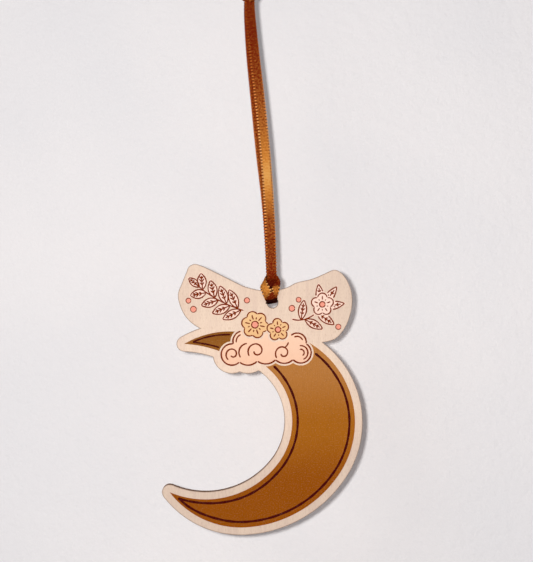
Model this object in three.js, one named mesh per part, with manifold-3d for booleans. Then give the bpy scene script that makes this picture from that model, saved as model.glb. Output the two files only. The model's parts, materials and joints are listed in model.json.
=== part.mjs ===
// A laser-cut crescent moon hanger: a printed three-ply wooden board on a loop of narrow satin ribbon.
// Millimetres, +Z up, the printed face towards -Y. The origin is the crotch of the loop, just under the
// ribbon's knot, where a hook or a twig holds it.
//
// Outlines are drawn in the plane of the board, x to the right and y up, from the centre of the hanging
// hole, and plate() stands them up. The whole drawing is then turned until the board hangs plumb.
import * as THREE from 'three';
import { mergeVertices } from 'three/addons/utils/BufferGeometryUtils.js';
import Module from 'manifold-3d';

const wasm = await Module();
wasm.setup();

// Board: three plies, the print on the front one
const veneerThickness = 0.6;
const coreThickness = 1.8;
const inkThickness = 0.1;
const borderWidth = 2.5; // bare wood from the print to the cut edge
const printGap = 0.6; // bare wood between one printed figure and the next
const arcStep = 1.2; // length of one facet on a round edge
const overcut = 1; // how far a cutting shape runs past what it cuts

// Hanging hole
const holeDiameter = 3.6;
const holeToEdge = 4.2; // from the hole's centre up to the board's top edge
const holeLandWidth = 11.5;
const holeLandShift = -0.5;

// Printed crescent: tangent arcs, each turning into the next at a bearing from its centre, in degrees.
// Its shoulders are where it comes out from behind the cloud.
const shoulderBearing = 60;
const outerShoulder = [11.8, -13.0];
const outerRadius = 30.0;
const outerTurn = -33.3;
const flankRadius = 39.2;
const flankTurn = -86.8;
const heelRadius = 29.0;
const innerShoulder = [-5.0, -18.85];
const innerRadius = 22.8;
const innerTurn = -38.4;
const bellyRadius = 29.7;
const crescentStart = 95; // the arcs end here, behind the cloud
const crescentEnd = 70;

// Printed upper horn: two arcs from its tip, each with the tip's bearing from its centre and its far end's
const hornTip = [-28.7, -13.45];
const hornTopRadius = 29.3;
const hornTopTurns = [120.5, 86.5];
const hornBottomRadius = 38.8;
const hornBottomTurns = [87.05, 64.5];

// Printed cloud: puffs [x, y, radius]
const puffs = [
  [-13.2, -16.9, 3.7],
  [-8.0, -16.2, 4.4],
  [-2.2, -15.6, 4.6],
  [3.8, -15.8, 4.2],
  [9.2, -16.3, 3.6],
  [8.0, -12.9, 3.2],
  [2.6, -12.4, 4.0],
  [-3.8, -12.1, 4.2],
  [-9.5, -12.6, 3.6],
];

// Cut edge of the two upper lobes, from the valley over the hole out and round to the notch
const leftLobeEdge = [
  [-5.4, holeToEdge], [-9.4, 5.3], [-14.5, 7.8], [-20.0, 10.5], [-23.3, 12.0], [-25.4, 12.5], [-27.2, 11.6],
  [-28.0, 9.8], [-29.4, 6.4], [-30.7, 2.7], [-30.1, -0.9], [-28.4, -4.4], [-25.5, -7.3], [-21.8, -9.3],
];
const rightLobeEdge = [
  [2.6, holeToEdge], [5.2, 5.1], [8.0, 6.5], [13.0, 7.7], [17.3, 9.5], [20.0, 10.6], [22.3, 9.7], [24.4, 7.0],
  [25.8, 3.0], [25.8, -1.7], [24.1, -7.3], [21.2, -11.2], [18.4, -12.6], [14.8, -13.2],
];
const lobeRoot = [0, -14.0]; // where both lobes close, inside the board

// Printed leafy branch on the left lobe: its stem's four guide points, leaves in pairs and one at the tip
const branchGuides = [[-9.4, -2.6], [-13.8, -1.2], [-19.2, 1.0], [-24.2, 5.4]];
const stemWidth = 0.7;
const stemShares = { first: 0.06, last: 0.82, stagger: 0.08, tip: 0.97 }; // where leaves stand along the stem
const leafPairs = 4;
const leafSpread = 46;
const firstLeafLength = 7.2;
const lastLeafLength = 5.8;
const branchLeafWidth = 3.3;
const tipLeafLength = 5.0;
const tipLeafWidth = 2.6;

// Printed spray on the right lobe: a blossom on a stem, with leaves [along the stem, bearing from it, length]
const sprayGuides = [[6.4, -5.4], [9.4, -6.4], [13.2, -5.2], [16.2, -1.2]];
const sprayLeaves = [
  [0.3, 75, 7.0], [0.42, -44, 7.0], [0.8, -76, 7.4], [0.97, -42, 8.0], [0.97, 2, 8.8], [0.97, 46, 8.0],
];
const sprayLeafWidth = 3.0;
const sprayBlossom = { centre: [16.2, -0.6], petals: 5, reach: 2.15, petalRadius: 1.75, turn: 18 };
const leafBelly = 0.45; // where a leaf is widest, as a share of its length

// Two printed blossoms that touch, on top of the cloud
const leftBlossom = { centre: [-5.7, -7.2], petals: 6, reach: 2.6, petalRadius: 2.0, turn: -12 };
const rightBlossom = { centre: [1.8, -8.8], petals: 5, reach: 2.15, petalRadius: 1.7, turn: 168 };

// Satin ribbon
const ribbonWidth = 3.25;
const ribbonThickness = 0.3;
const selvedge = 0.25; // how far in from its edge the ribbon thins
const strandDepth = 0.4; // from the middle of the loop to the middle of each strand, where they meet
const clearance = 0.3; // between touching pieces of ribbon, and between ribbon and wood

// Hitch: the ribbon's two folded legs in front of the board and behind it, and what joins them
const legSides = [[-4.2, 5.0], [-2.5, 0.8], [-1.3, 0.2], [1.3, 0.2], [2.1, 2.4], [2.7, 4.2], [2.8, 6.2]];
const legTop = [-1.7, 1.4]; // the legs' upper corners
const legThickness = 0.7;
const edgeClearance = 0.7; // over the board's top edge, so that the hitch can rock on it
const tipAxisHeight = 7.4; // above the hole's centre; the strands flex here
const crownRadius = 1.0;
const crownShift = -0.2; // the crown's middle, left of the hole's

// The loop's crotch, and the strands' routes [x, depth, y] from the hitch up to it, as the ribbon hangs
const crotchPlace = [-7.5, 97.6];
const strandFoot = tipAxisHeight + crownRadius + clearance;
const strandHead = crotchPlace[1] - clearance;
const frontStrandRoute = [
  [-0.26, -strandDepth, strandFoot], [-0.6, -0.55, 20.0], [-1.2, -0.7, 33.3], [-2.44, -0.8, 49.6],
  [-4.1, -0.8, 65.8], [-5.9, -0.65, 81.0], [-7.2, -0.45, 93.4], [-7.5, -strandDepth, strandHead],
];
const rearStrandRoute = [
  [-0.33, strandDepth, strandFoot], [-0.95, 0.55, 20.0], [-2.0, 0.7, 33.3], [-3.9, 0.8, 49.6],
  [-5.5, 0.8, 65.8], [-6.95, 0.65, 81.0], [-7.65, 0.45, 93.4], [-7.6, strandDepth, strandHead],
];
const strandSteps = 30;

// Knot: an overhand knot in both strands, with two short tails, measured from the crotch
const knotSize = [5.8, 4.2, 6.0];
const knotRise = 3.7; // from the crotch up to the knot's middle
const wrapRadius = 0.8;
const wrapTilt = 38;
const tailRoutes = [
  [[-0.9, -0.2, 5.3], [-1.6, -0.4, 8.1], [-2.9, -0.3, 10.9], [-4.9, 0.1, 13.3], [-7.2, 0.6, 14.9]],
  [[0.9, 0.2, 5.3], [1.4, 0.5, 8.3], [2.4, 0.7, 11.5], [4.1, 0.5, 14.5], [6.1, 0.0, 16.9]],
];
const tailSteps = 10;

const boardThickness = coreThickness + 2 * veneerThickness;
const frontFace = -boardThickness / 2;
const crotch = new THREE.Vector3(crotchPlace[0], 0, crotchPlace[1]);

const radians = (degrees) => (degrees * Math.PI) / 180;
const point = ([x, y]) => new THREE.Vector2(x, y);
const along = (angle, length) => new THREE.Vector2(Math.cos(angle), Math.sin(angle)).multiplyScalar(length);
const bearing = (from, to) => to.clone().sub(from).angle();

// Points of an arc, from one angle to another in radians
function arc(centre, radius, from, to) {
  const count = Math.max(2, Math.ceil((Math.abs(to - from) * radius) / arcStep));
  const turn = (to - from) / count;
  return Array.from({ length: count + 1 }, (_, i) => centre.clone().add(along(from + turn * i, radius)));
}

// The centre of an arc that goes on smoothly from another at an angle, with its own radius
const nextCentre = (centre, radius, angle, next) => centre.clone().add(along(angle, radius - next));

// Where two circles meet; side picks the one of the two points
function meet(a, radiusA, b, radiusB, side) {
  const gap = b.clone().sub(a);
  const apart = gap.length();
  const reach = (apart * apart + radiusA * radiusA - radiusB * radiusB) / (2 * apart);
  const half = Math.sqrt(radiusA * radiusA - reach * reach);
  return a.clone().add(along(gap.angle(), reach)).add(along(gap.angle() + Math.PI / 2, side * half));
}

// A closed outline from stretches of points, without the doubles where stretches join
function outline(...stretches) {
  const points = stretches.flat();
  return new THREE.Shape(points.filter((p, i) => p.distanceTo(points[(i + 1) % points.length]) > 0.01));
}

const disc = ([x, y], radius) => outline(arc(new THREE.Vector2(x, y), radius, 0, 2 * Math.PI));
const smooth = (points, steps) => new THREE.SplineCurve(points.map(point)).getPoints(steps);

// A flat plate that stands up in the drawing's plane, from its back face towards the front
function plate(shape, back, thickness) {
  const geometry = new THREE.ExtrudeGeometry(shape, { depth: thickness, bevelEnabled: false });
  return geometry.rotateX(Math.PI / 2).translate(0, back, 0);
}

function toSolid(geometry) {
  const bare = geometry.clone();
  bare.deleteAttribute('normal');
  bare.deleteAttribute('uv');
  const merged = mergeVertices(bare, 1e-4);
  const vertProperties = new Float32Array(merged.attributes.position.array);
  const triVerts = new Uint32Array(merged.index.array);
  return new wasm.Manifold(new wasm.Mesh({ numProp: 3, vertProperties, triVerts }));
}

function toGeometry(solid) {
  const { vertProperties, triVerts } = solid.getMesh();
  const geometry = new THREE.BufferGeometry();
  geometry.setAttribute('position', new THREE.BufferAttribute(new Float32Array(vertProperties), 3));
  geometry.setIndex(new THREE.BufferAttribute(new Uint32Array(triVerts), 1));
  const faceted = geometry.toNonIndexed();
  faceted.computeVertexNormals();
  return faceted;
}

const joined = (geometries) => geometries.map(toSolid).reduce((whole, piece) => whole.add(piece));
const plates = (shapes, back, thickness) => joined(shapes.map((shape) => plate(shape, back, thickness)));

// The crescent's outline; grow widens the printed one all round, and rounds its tip
function crescentShape(grow) {
  const outer = point(outerShoulder).sub(along(radians(shoulderBearing), outerRadius));
  const inner = point(innerShoulder).sub(along(radians(shoulderBearing), innerRadius));
  const flank = nextCentre(outer, outerRadius, radians(outerTurn), flankRadius);
  const heel = nextCentre(flank, flankRadius, radians(flankTurn), heelRadius);
  const belly = nextCentre(inner, innerRadius, radians(innerTurn), bellyRadius);
  const tip = meet(heel, heelRadius, belly, bellyRadius, 1);
  const heelEnd = bearing(heel, tip) - 2 * Math.PI;
  const bellyStart = bearing(belly, tip) - 2 * Math.PI;
  return outline(
    arc(outer, outerRadius + grow, radians(crescentStart), radians(outerTurn)),
    arc(flank, flankRadius + grow, radians(outerTurn), radians(flankTurn)),
    arc(heel, heelRadius + grow, radians(flankTurn), heelEnd),
    arc(tip, grow, heelEnd, bellyStart - Math.PI),
    arc(belly, bellyRadius - grow, bellyStart, radians(innerTurn)),
    arc(inner, innerRadius - grow, radians(innerTurn), radians(crescentEnd)),
  );
}

// The upper horn's outline, widened the same way
function hornShape(grow) {
  const tip = point(hornTip);
  const [topTip, topEnd] = hornTopTurns.map(radians);
  const [bottomTip, bottomEnd] = hornBottomTurns.map(radians);
  const top = tip.clone().sub(along(topTip, hornTopRadius));
  const bottom = tip.clone().sub(along(bottomTip, hornBottomRadius));
  return outline(
    arc(top, hornTopRadius + grow, topEnd, topTip),
    arc(tip, grow, topTip, bottomTip + Math.PI),
    arc(bottom, hornBottomRadius - grow, bottomTip, bottomEnd),
  );
}

const cloudShapes = (grow) => puffs.map(([x, y, radius]) => disc([x, y], radius + grow));

function blossomShapes({ centre, petals, reach, petalRadius, turn }, grow) {
  const middle = point(centre);
  const ring = Array.from({ length: petals }, (_, i) => {
    const petal = middle.clone().add(along(radians(turn) + (2 * Math.PI * i) / petals, reach));
    return disc(petal.toArray(), petalRadius + grow);
  });
  return [disc(centre, reach), ...ring];
}

// A pointed leaf from its stalk, with its widest place near the middle
function leafShape(base, angle, length, width) {
  const tip = base.clone().add(along(angle, length));
  const middle = base.clone().add(along(angle, length * leafBelly));
  const bulge = along(angle + Math.PI / 2, width);
  const left = new THREE.QuadraticBezierCurve(base, middle.clone().add(bulge), tip).getPoints(8);
  const right = new THREE.QuadraticBezierCurve(tip, middle.clone().sub(bulge), base).getPoints(8);
  return outline(left, right);
}

// A stem along four guide points, and what grows on it: [along the stem, bearing from it, length, width]
function sprig(guides, leaves) {
  const curve = new THREE.CubicBezierCurve(...guides.map(point));
  const side = (t, half) => curve.getPoint(t).add(along(curve.getTangent(t).angle() + Math.PI / 2, half));
  const steps = Array.from({ length: 13 }, (_, i) => i / 12);
  const left = steps.map((t) => side(t, stemWidth / 2));
  const right = steps.toReversed().map((t) => side(t, -stemWidth / 2));
  const blades = leaves.map(([t, turn, length, width]) =>
    leafShape(curve.getPoint(t), curve.getTangent(t).angle() + radians(turn), length, width));
  return [outline(left, right), ...blades];
}

function branchLeafList() {
  const { first, last, stagger, tip } = stemShares;
  const list = [[tip, 0, tipLeafLength, tipLeafWidth]];
  for (let i = 0; i < leafPairs; i += 1) {
    const share = i / (leafPairs - 1);
    const place = first + (last - first) * share;
    const length = firstLeafLength + (lastLeafLength - firstLeafLength) * share;
    list.push([place, leafSpread, length, branchLeafWidth]);
    list.push([place + stagger, -leafSpread, length, branchLeafWidth]);
  }
  return list;
}

// Every ply has the same outline: the printed figures with their border, the lobes and the hole's land
const lobeShape = (edge) => outline(smooth(edge, 60), [point(lobeRoot), point([lobeRoot[0], holeToEdge])]);
const [landLeft, landRight] = [holeLandShift - holeLandWidth / 2, holeLandShift + holeLandWidth / 2];
const holeLand = outline([[landLeft, lobeRoot[1]], [landRight, lobeRoot[1]], [landRight, holeToEdge],
  [landLeft, holeToEdge]].map(point));

function ply(back, thickness) {
  const cut = [crescentShape(borderWidth), hornShape(borderWidth), ...cloudShapes(borderWidth),
    lobeShape(leftLobeEdge), lobeShape(rightLobeEdge), holeLand];
  const drill = plate(disc([0, 0], holeDiameter / 2), back + overcut, thickness + 2 * overcut);
  return plates(cut, back, thickness).subtract(toSolid(drill));
}

const print = (shapes) => plates(shapes, frontFace, inkThickness);
const mask = (shapes) => plates(shapes, frontFace + overcut, inkThickness + 2 * overcut);

// A flat band of ribbon along a route
function band(route, steps) {
  const path = new THREE.CatmullRomCurve3(route.map((p) => new THREE.Vector3(...p)));
  const [w, t] = [ribbonWidth / 2, ribbonThickness / 2];
  const [flat, edge] = [w - selvedge, t * (1 - selvedge)];
  const section = outline([[-edge, w], [edge, w], [t, flat], [t, -flat], [edge, -w], [-edge, -w], [-t, -flat],
    [-t, flat]].map(point));
  return new THREE.ExtrudeGeometry(section, { steps, extrudePath: path, bevelEnabled: false });
}

// The hitch holds the board's top edge through the hole, and its round crown stands on the tipping axis
function hitch() {
  const top = legTop.map((x) => [x, tipAxisHeight]);
  const legs = outline([top[0], ...legSides, top[1]].map(point));
  const legBack = boardThickness / 2 + clearance + legThickness;
  const front = plate(legs, frontFace - clearance, legThickness);
  const rear = plate(legs, legBack, legThickness);
  const middle = point([0, tipAxisHeight]);
  const underside = holeToEdge + edgeClearance;
  const profile = outline(
    [point([-legBack, underside]), point([legBack, underside]), point([legBack, tipAxisHeight - crownRadius])],
    arc(middle, crownRadius, radians(20), radians(160)),
    [point([-legBack, tipAxisHeight - crownRadius])],
  );
  const crown = new THREE.ExtrudeGeometry(profile, { depth: ribbonWidth, bevelEnabled: false });
  crown.rotateX(Math.PI / 2).rotateZ(Math.PI / 2).translate(crownShift - ribbonWidth / 2, 0, 0);
  const throughHole = outline(arc(point([0, 0]), holeDiameter / 2 - clearance, radians(8), radians(172)));
  const passage = plate(throughHole, legBack, 2 * legBack);
  return joined([front, rear, crown, passage]);
}

function knot() {
  const [width, depth, height] = knotSize;
  const lump = new THREE.SphereGeometry(0.5, 20, 14).scale(width, depth, height).translate(0, 0, knotRise);
  const neck = new THREE.BoxGeometry(ribbonWidth, 2 * strandDepth + ribbonThickness, knotRise);
  neck.translate(0, 0, knotRise / 2);
  const wrap = new THREE.TorusGeometry(0.5, wrapRadius / width, 8, 28).scale(width, depth, depth);
  wrap.rotateX(Math.PI / 2).rotateY(radians(wrapTilt)).translate(0, 0, knotRise);
  const tails = tailRoutes.map((route) => band(route, tailSteps));
  return joined([lump, neck, wrap, ...tails]).translate(crotch.toArray());
}

const look = (color, roughness) => new THREE.MeshStandardMaterial({ color, roughness, metalness: 0 });
const paleWood = look(0xe8d2b8, 0.75);
const coreWood = look(0xcfae86, 0.8);
const moonInk = look(0xa5662a, 0.6);
const peachInk = look(0xf6cdb2, 0.6);
const blushInk = look(0xf8ddcc, 0.6);
const goldInk = look(0xeebf85, 0.6);
const satin = look(0x9a5418, 0.35);

const drawing = new THREE.Group();
const add = (name, geometry, material) => {
  const mesh = new THREE.Mesh(geometry, material);
  mesh.name = name;
  drawing.add(mesh);
};

const core = ply(coreThickness / 2, coreThickness);
add('core_ply', toGeometry(core), coreWood);
add('front_veneer', toGeometry(ply(frontFace + veneerThickness, veneerThickness)), paleWood);
add('back_veneer', toGeometry(ply(boardThickness / 2, veneerThickness)), paleWood);

const blossomsShapes = (grow) => [...blossomShapes(leftBlossom, grow), ...blossomShapes(rightBlossom, grow)];
const blossomHalo = mask(blossomsShapes(printGap));
const halo = mask([...cloudShapes(printGap), ...blossomsShapes(printGap)]);
add('moon_print', toGeometry(print([crescentShape(0)]).subtract(halo)), moonInk);
add('horn_print', toGeometry(print([hornShape(0)]).subtract(halo)), moonInk);
add('cloud_print', toGeometry(print(cloudShapes(0)).subtract(blossomHalo)), peachInk);
add('blossoms_print', toGeometry(print(blossomsShapes(0))), goldInk);
add('branch_print', toGeometry(print(sprig(branchGuides, branchLeafList()))), blushInk);
const sprayBlades = sprayLeaves.map((leaf) => [...leaf, sprayLeafWidth]);
const spray = [...sprig(sprayGuides, sprayBlades), ...blossomShapes(sprayBlossom, 0)];
add('spray_print', toGeometry(print(spray)), blushInk);

add('hitch', toGeometry(hitch()), satin);
add('strand_front', band(frontStrandRoute, strandSteps), satin);
add('strand_rear', band(rearStrandRoute, strandSteps), satin);
add('knot', toGeometry(knot()), satin);

// Six times the signed volume of a solid, and four times that volume's moment, give its centre
function centreOf(solid) {
  const { vertProperties, triVerts } = solid.getMesh();
  const [a, b, c, sum, moment] = Array.from({ length: 5 }, () => new THREE.Vector3());
  let volume = 0;
  for (let i = 0; i < triVerts.length; i += 3) {
    [a, b, c].forEach((corner, k) => corner.fromArray(vertProperties, triVerts[i + k] * 3));
    const part = a.dot(sum.crossVectors(b, c));
    moment.addScaledVector(sum.copy(a).add(b).add(c), part);
    volume += part;
  }
  return moment.divideScalar(4 * volume);
}

// The board hangs with its centre of mass straight below the hole, and the crotch is the origin
const centre = centreOf(core);
drawing.rotation.y = Math.atan2(centre.x, -centre.z);
drawing.position.copy(crotch).applyEuler(drawing.rotation).negate();

const group = new THREE.Group();
group.add(drawing);
export default group;
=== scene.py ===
# Looks of a laser-cut crescent moon hanger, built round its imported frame.
# Plans are in millimetres from the middle of the hanging hole: u to the right, y into the board, v up, as
# the board was drawn. place() turns them to the way the board hangs, in metres, with the print towards -Y.
import json
import math

import bmesh
import bpy
import numpy as np
from mathutils import Matrix, Vector
from mathutils.geometry import tessellate_polygon


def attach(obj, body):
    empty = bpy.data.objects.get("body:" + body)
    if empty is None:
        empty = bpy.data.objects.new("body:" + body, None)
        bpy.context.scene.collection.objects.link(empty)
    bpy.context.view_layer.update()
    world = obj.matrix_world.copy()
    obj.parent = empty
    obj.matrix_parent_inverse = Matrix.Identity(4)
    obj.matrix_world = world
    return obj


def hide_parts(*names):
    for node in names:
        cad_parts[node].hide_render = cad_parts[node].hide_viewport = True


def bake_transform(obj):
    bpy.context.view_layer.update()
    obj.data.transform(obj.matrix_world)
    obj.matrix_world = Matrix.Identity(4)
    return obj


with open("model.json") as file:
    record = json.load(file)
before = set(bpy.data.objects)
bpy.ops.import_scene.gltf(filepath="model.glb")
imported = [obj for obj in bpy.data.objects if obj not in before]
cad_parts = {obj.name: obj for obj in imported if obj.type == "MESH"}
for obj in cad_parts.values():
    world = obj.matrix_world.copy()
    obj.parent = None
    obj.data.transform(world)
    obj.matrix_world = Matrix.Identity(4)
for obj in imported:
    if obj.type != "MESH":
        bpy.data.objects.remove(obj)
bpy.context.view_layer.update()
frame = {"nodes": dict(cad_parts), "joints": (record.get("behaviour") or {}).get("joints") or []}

mm = 0.001
joints = {joint["name"]: Vector(joint["pos_m"]) for joint in frame["joints"]}
holeMiddle = joints["board_rock"]
crotchPlan = (-7.5, 0.0, 97.6)  # the ribbon loop's crotch, which is the row frame's origin
hangTurn = math.atan2(-holeMiddle.x, -holeMiddle.z) - math.atan2(crotchPlan[0], crotchPlan[2])
turnCos, turnSin = math.cos(hangTurn), math.sin(hangTurn)


# x = u cos(turn) + v sin(turn) + hole x, z = v cos(turn) - u sin(turn) + hole z, and y stays
def place(plan):
    u, depth, v = np.moveaxis(np.asarray(plan, float) * mm, -1, 0)
    x, z = u * turnCos + v * turnSin, v * turnCos - u * turnSin
    return np.stack([x + holeMiddle.x, depth, z + holeMiddle.z], -1)


# The photograph's camera looks straight at the board, on an axis through a point of its plan, and its lens
# = sensor times distance over the height of the picture on the board
camera = {"aim": (-1.95, 6.99), "distance": 520.0, "pixel": 0.325, "pictureHeight": 562, "sensor": 36.0}
boardFront = -1.5


def addObject(name, data):
    made = bpy.data.objects.new(name, data)
    bpy.context.scene.collection.objects.link(made)
    return made


def makeCamera():
    lens = camera["sensor"] * camera["distance"] / (camera["pictureHeight"] * camera["pixel"])
    data = bpy.data.cameras.new("photoCamera")
    data.sensor_width = camera["sensor"]
    data.lens = lens
    data.clip_start, data.clip_end = 0.01, 10.0
    eye = addObject("photoCamera", data)
    u, v = camera["aim"]
    turn = Matrix(((turnCos, turnSin, 0), (0, 0, -1), (-turnSin, turnCos, 0))).to_4x4()
    eye.matrix_world = Matrix.Translation(place((u, boardFront - camera["distance"], v))) @ turn
    bpy.context.scene.camera = eye


makeCamera()
print("camera")


# Shader maths: a socket's value, with the operators that are used
class Signal:
    def __init__(self, finish, socket):
        self.finish, self.socket = finish, socket

    def math(self, operation, *values):
        inputs = dict(enumerate((self, *values)))
        return self.finish.node("ShaderNodeMath", {"operation": operation}, inputs)

    def __add__(self, other):
        return self.math("ADD", other)

    def __sub__(self, other):
        return self.math("SUBTRACT", other)

    def __rsub__(self, other):
        return (self * -1) + other

    def __mul__(self, other):
        return self.math("MULTIPLY", other)

    def sine(self):
        return self.math("SINE")

    def size(self):
        return self.math("ABSOLUTE")

    # 0 at low, 1 at high, straight between
    def ramp(self, low, high, kind="LINEAR"):
        inputs = {"Value": self, "From Min": low, "From Max": high}
        return self.finish.node("ShaderNodeMapRange", {"interpolation_type": kind}, inputs)

    # the same with soft ends
    def rise(self, low, high):
        return self.ramp(low, high, "SMOOTHSTEP")

    __radd__ = __add__
    __rmul__ = __mul__


# A colour given as a picture shows it, 0 to 255, in the linear values that a shader takes
def shade(red, green, blue):
    parts = np.array([red, green, blue]) / 255
    linear = np.where(parts <= 0.04045, parts / 12.92, ((parts + 0.055) / 1.055) ** 2.4)
    return (*linear.tolist(), 1.0)


# A material and its nodes, or the world's nodes where its tree is given
class Finish:
    def __init__(self, name, tree=None):
        self.tree = tree
        if not tree:
            self.material = bpy.data.materials.new(name)
            self.material.use_nodes = True
            self.tree = self.material.node_tree
            self.shader = self.tree.nodes["Principled BSDF"]

    # one node: its settings first, then the values or links of its sockets
    def node(self, kind, settings, inputs, output=0):
        made = self.tree.nodes.new(kind)
        for name, value in settings.items():
            setattr(made, name, value)
        self.feed(made, inputs)
        return Signal(self, made.outputs[output])

    # a link, a plain value, or a colour's three parts as a picture shows them
    def feed(self, node, inputs):
        for name, value in inputs.items():
            if isinstance(value, Signal):
                self.tree.links.new(value.socket, node.inputs[name])
            elif isinstance(value, tuple) and len(value) == 3:
                node.inputs[name].default_value = shade(*value)
            else:
                node.inputs[name].default_value = value

    def surface(self, **inputs):
        self.feed(self.shader, {name.replace("_", " "): value for name, value in inputs.items()})
        return self.material

    def mark(self, name):
        return self.node("ShaderNodeAttribute", {"attribute_name": name}, {}, "Fac")

    def mix(self, share, low, high, way="MIX"):
        settings = {"data_type": "RGBA", "blend_type": way}
        return self.node("ShaderNodeMix", settings, {0: share, 6: low, 7: high}, 2)

    # noise at a link, or at a place of three parts
    def noise(self, spot, scale, detail=2.0, roughness=0.5):
        if isinstance(spot, tuple):
            spot = self.node("ShaderNodeCombineXYZ", {}, dict(enumerate(spot)))
        inputs = {"Vector": spot, "Scale": scale, "Detail": detail, "Roughness": roughness}
        return self.node("ShaderNodeTexNoise", {}, inputs)

    def bump(self, height, distance, strength=1.0):
        inputs = {"Height": height, "Distance": distance, "Strength": strength}
        return self.node("ShaderNodeBump", {}, inputs)

    # the plan's u and v in millimetres, and the depth, from Object coordinates
    def plan(self):
        spot = self.node("ShaderNodeTexCoord", {}, {}, "Object")
        x, y, z = (self.node("ShaderNodeSeparateXYZ", {}, {0: spot}, axis) for axis in "XYZ")
        x, z = (x - holeMiddle.x) * (1 / mm), (z - holeMiddle.z) * (1 / mm)
        return x * turnCos - z * turnSin, x * turnSin + z * turnCos, y * (1 / mm)


# Quads of a grid of rows x columns; closed joins the last column to the first
def gridFaces(rows, columns, closed=False):
    across = columns if closed else columns - 1
    i, j = np.meshgrid(np.arange(rows - 1), np.arange(across), indexing="ij")
    here, beside = i * columns, (j + 1) % columns
    corners = [here + j, here + beside, here + columns + beside, here + columns + j]
    return np.stack(corners, -1).reshape(-1, 4)


# A closed solid between a front and a back grid of points, with walls round their rims
def slab(front, back, **marks):
    rows, columns = front.shape[:2]
    count = rows * columns
    index = np.arange(count).reshape(rows, columns)
    rim = np.concatenate([index[0, :-1], index[:-1, -1], index[-1, :0:-1], index[:0:-1, 0]])
    ahead = np.roll(rim, -1)
    faces = gridFaces(rows, columns)
    walls = np.stack([rim, ahead, ahead + count, rim + count], -1)
    made = {name: np.tile(np.broadcast_to(value, (rows, columns)).ravel(), 2)
            for name, value in marks.items()}
    points = np.concatenate([front.reshape(-1, 3), back.reshape(-1, 3)])
    return {"points": points, "faces": np.concatenate([faces, faces[:, ::-1] + count, walls]).tolist(),
            "marks": made}


# A closed tube through rings of points, with a flat cap on its first and last ring
def tube(rings, **marks):
    rows, columns = rings.shape[:2]
    caps = [list(range(columns)), list(range((rows - 1) * columns, rows * columns))]
    made = {name: np.broadcast_to(value, (rows, columns)).ravel() for name, value in marks.items()}
    return {"points": rings.reshape(-1, 3), "faces": gridFaces(rows, columns, True).tolist() + caps,
            "marks": made}


# Solids on the plan joined into one mesh whose object stays at the origin, with outward faces
def makePiece(name, solids, material, body=None, stands=(), crease=40):
    starts = np.cumsum([0] + [len(solid["points"]) for solid in solids])
    faces = [[start + corner for corner in face]
             for start, solid in zip(starts, solids) for face in solid["faces"]]
    mesh = bpy.data.meshes.new(name)
    mesh.from_pydata(place(np.concatenate([solid["points"] for solid in solids])).tolist(), [], faces)
    for mark in solids[0]["marks"]:
        values = np.concatenate([solid["marks"][mark] for solid in solids]).astype(np.float32)
        mesh.attributes.new(mark, "FLOAT", "POINT").data.foreach_set("value", values)
    work = bmesh.new()
    work.from_mesh(mesh)
    bmesh.ops.recalc_face_normals(work, faces=work.faces)
    work.to_mesh(mesh)
    work.free()
    mesh.shade_smooth()
    mesh.set_sharp_from_angle(angle=math.radians(crease))
    mesh.materials.append(material)
    piece = addObject(name, mesh)
    if body:
        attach(piece, body)
    if stands:
        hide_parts(*stands)
    return piece


# Catmull-Rom curve through points: between b and c, with a before them and d after them,
# p(t) = b + t(c - a)/2 + t^2(a - 5b/2 + 2c - d/2) + t^3(3(b - c) + d - a)/2
def smoothLine(points, count):
    p = np.asarray(points, float)
    p = np.vstack([2 * p[0] - p[1], p, 2 * p[-1] - p[-2]])
    t = np.linspace(0, len(p) - 3, count)
    k = np.minimum(t.astype(int), len(p) - 4)
    f = (t - k)[:, None]
    a, b, c, d = (p[k + i] for i in range(4))
    return (b + f * (c - a) / 2 + f**2 * (a - 2.5 * b + 2 * c - d / 2)
            + f**3 * (3 * (b - c) + d - a) / 2)


# Length of a line up to each of its points
def lengths(line):
    return np.concatenate([[0], np.cumsum(np.linalg.norm(np.diff(line, axis=0), axis=1))])


# The same line with its points a step apart
def evenly(line, step):
    run = lengths(line)
    at = np.linspace(0, run[-1], max(2, round(run[-1] / step)) + 1)
    return np.stack([np.interp(at, run, line[:, axis]) for axis in range(line.shape[1])], -1)


# Vectors made one long
def unit(vectors):
    return vectors / np.linalg.norm(vectors, axis=-1, keepdims=True)


# (cos(a), sin(a)), a in degrees
def direction(degrees):
    return np.stack([np.cos(np.radians(degrees)), np.sin(np.radians(degrees))], -1)


# Vectors (u, v) turned left by 90 degrees
def turned(vectors):
    return vectors[..., ::-1] * (-1, 1)


# The normal of a line in the plan's plane
def sideways(line):
    return unit(np.gradient(line, axis=0)[:, [2, 1, 0]] * (1, 0, -1))


# Points (u, depth, v) over a grid or ring of points (u, v)
def lifted(flat, depth):
    return np.stack([flat[..., 0], np.broadcast_to(depth, flat.shape[:2]), flat[..., 1]], -1)


# centre + radius (cos(a), sin(a)), a in degrees
def arcLine(centre, radius, start, end):
    count = max(4, round(abs(end - start) * math.pi / 180 * radius / 0.15))
    return np.asarray(centre) + radius * direction(np.linspace(start, end, count))


# 0 below low, 1 above high, 3t^2 - 2t^3 between
def ease(value, low, high):
    t = np.clip((value - low) / (high - low), 0, 1)
    return t * t * (3 - 2 * t)


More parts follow.
